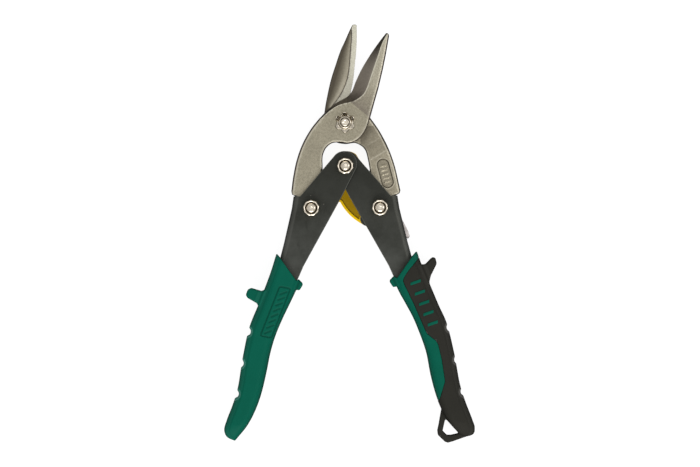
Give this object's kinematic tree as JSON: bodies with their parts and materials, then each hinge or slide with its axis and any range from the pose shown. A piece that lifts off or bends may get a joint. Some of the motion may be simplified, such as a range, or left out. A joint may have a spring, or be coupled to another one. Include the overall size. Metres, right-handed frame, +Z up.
{
  "type": "aviation snips",
  "caption": "Compound-action sheet-metal snips, open, with two offset blades, two channel levers, moulded grips, a return spring and a thumb latch.",
  "frame": {"origin": "On the axis of the main pivot, at the rear face of the main pivot bolt's head, which lies on the surface that the snips rest on.", "axes": "+X to the right, +Y towards the blade tips, +Z up from the surface and out of the front face, along every pivot axis."},
  "size_m": [0.1465, 0.245, 0.0238],
  "materials": {
    "blade_steel": "ground tool steel with fine grinding lines, worn and slightly warm grey",
    "black_steel": "satin black coating on pressed steel sheet",
    "plated_steel": "bright warm nickel-like plating",
    "spring_steel": "dark oiled spring steel",
    "grey_steel": "plain grey steel sheet, tumbled",
    "green_plastic": "dark green moulded plastic with a fine grain and a soft sheen",
    "charcoal_cover": "soft charcoal over-moulding, matt",
    "yellow_plastic": "yellow moulded plastic, semi-gloss"
  },
  "bodies": {
    "right_handle": {"right_lever": "black_steel", "right_grip_core": "green_plastic", "right_grip_cover": "charcoal_cover", "right_pivot_bolt": "plated_steel", "right_pivot_washer": "plated_steel", "right_pivot_nut": "plated_steel", "handle_pivot_bolt": "plated_steel", "handle_pivot_washer": "plated_steel", "handle_pivot_nut": "plated_steel", "spring_sleeve": "spring_steel", "return_spring": "spring_steel", "latch_washer": "spring_steel"},
    "left_handle": {"left_lever": "black_steel", "left_grip": "green_plastic", "left_pivot_bolt": "plated_steel", "left_pivot_washer": "plated_steel", "left_pivot_nut": "plated_steel"},
    "rear_jaw": {"rear_blade": "blade_steel", "main_pivot_bolt": "plated_steel", "main_pivot_rear_washer": "plated_steel", "main_pivot_star_washer": "plated_steel", "main_pivot_nut": "plated_steel"},
    "front_jaw": {"front_blade": "blade_steel"},
    "latch": {"latch_lever": "yellow_plastic", "latch_thumb_plate": "grey_steel", "latch_rivet_1": "plated_steel", "latch_rivet_2": "plated_steel"}
  },
  "joints": [
    {"name": "handle_pivot", "type": "hinge", "parent": "right_handle", "child": "left_handle", "pos_m": [0, -0.0254, 0.0121], "axis": [0, 0, 1], "range_deg": [0, 39.2], "stiffness_Nm_per_rad": 0.3, "springref_deg": -20.05, "deforming": ["return_spring"]},
    {"name": "rear_blade_pivot", "type": "hinge", "parent": "right_handle", "child": "rear_jaw", "pos_m": [0.02005, -0.0498, 0.0121], "axis": [0, 0, 1], "range_deg": [0, 9.3]},
    {"name": "front_blade_pivot", "type": "hinge", "parent": "left_handle", "child": "front_jaw", "pos_m": [-0.02005, -0.0498, 0.0121], "axis": [0, 0, 1], "range_deg": [-9.3, 0]},
    {"name": "latch_pivot", "type": "hinge", "parent": "right_handle", "child": "latch", "pos_m": [0.02005, -0.0498, 0.0121], "axis": [0, 0, 1], "range_deg": [0, 12]}
  ],
  "couplings": [
    {"joint": "rear_blade_pivot", "follows": "handle_pivot", "ratio": 0.2365},
    {"joint": "front_blade_pivot", "follows": "handle_pivot", "ratio": -0.2365}
  ]
}
